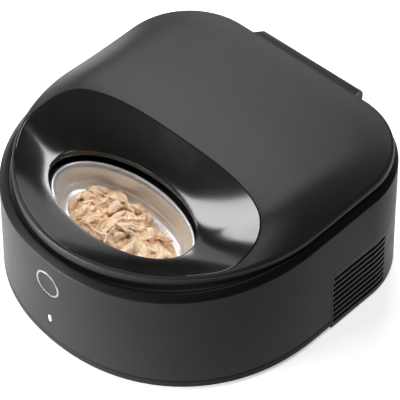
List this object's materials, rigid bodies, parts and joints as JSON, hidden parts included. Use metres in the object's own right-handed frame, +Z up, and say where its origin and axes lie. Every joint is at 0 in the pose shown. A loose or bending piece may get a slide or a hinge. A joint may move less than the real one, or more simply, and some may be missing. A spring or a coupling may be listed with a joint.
{
  "type": "pet food dispenser",
  "caption": "Low rounded feeder with a chilled chamber: a hinged lid with an oval scoop shows one steel bowl of a turning carousel.",
  "frame": {"origin": "centre of the footprint's bounding box, on the floor", "axes": "+Z up, -Y towards the button and the feeding hole, +X to the fan's side, which is on the right when the button faces the viewer"},
  "size_m": [0.3396, 0.3494, 0.1473],
  "materials": {
    "charcoal": "matt fine-grained",
    "dark": "matt",
    "gloss": "satin gloss",
    "rubber": "matt",
    "steel": "brushed",
    "aluminium": "satin",
    "white_plastic": "matt",
    "foam": "matt",
    "board": "satin",
    "lamp": "frosted",
    "food": "moist"
  },
  "bodies": {
    "housing": {"base_cover": "charcoal", "base_screw_1": "steel", "base_screw_2": "steel", "base_screw_3": "steel", "base_screw_4": "steel", "body_shell": "charcoal", "button_ring": "steel", "button_switch": "dark", "chamber_tub": "dark", "cold_plate": "aluminium", "control_board": "board", "driver_chip": "dark", "fan_frame": "dark", "foot_1": "rubber", "foot_2": "rubber", "foot_3": "rubber", "foot_4": "rubber", "front_board": "board", "gear_motor": "steel", "heat_sink": "aluminium", "hinge_pin_left": "steel", "hinge_pin_right": "steel", "insulation_jacket": "foam", "power_socket": "dark", "rear_vent_panel": "dark", "spindle_bush": "white_plastic", "status_light_pipe": "lamp", "status_light_source": "lamp", "supply_capacitor": "aluminium", "thermoelectric_module": "white_plastic"},
    "lid": {"lid_shell": "charcoal", "scoop_insert": "gloss", "lid_liner": "dark", "lid_seal": "rubber"},
    "carousel": {"carousel_tray": "dark", "bowl_1": "steel", "bowl_2": "steel", "bowl_3": "steel", "food_portion": "food", "spindle": "steel", "carousel_gear": "white_plastic"},
    "pinion": {"motor_pinion": "white_plastic"},
    "button": {"button_cap": "charcoal"},
    "rotor": {"fan_rotor": "dark"}
  },
  "joints": [
    {"name": "lid_hinge", "type": "hinge", "parent": "housing", "child": "lid", "pos_m": [0, 0.1607, 0.121], "axis": [-1, 0, 0], "range_deg": [0, 85]},
    {"name": "carousel_spin", "type": "hinge", "parent": "housing", "child": "carousel", "pos_m": [0, -0.001, 0.1], "axis": [0, 0, 1], "continuous": true},
    {"name": "pinion_spin", "type": "hinge", "parent": "housing", "child": "pinion", "pos_m": [-0.06, -0.001, 0.05], "axis": [0, 0, 1], "continuous": true},
    {"name": "button_press", "type": "slide", "parent": "housing", "child": "button", "axis": [0, 1, 0], "range_m": [0, 0.0012], "stiffness_N_per_m": 500, "springref_m": -0.001},
    {"name": "fan_spin", "type": "hinge", "parent": "housing", "child": "rotor", "pos_m": [0.1475, 0.055, 0.0298], "axis": [1, 0, 0], "continuous": true}
  ],
  "couplings": [
    {"joint": "pinion_spin", "follows": "carousel_spin", "ratio": -4}
  ]
}
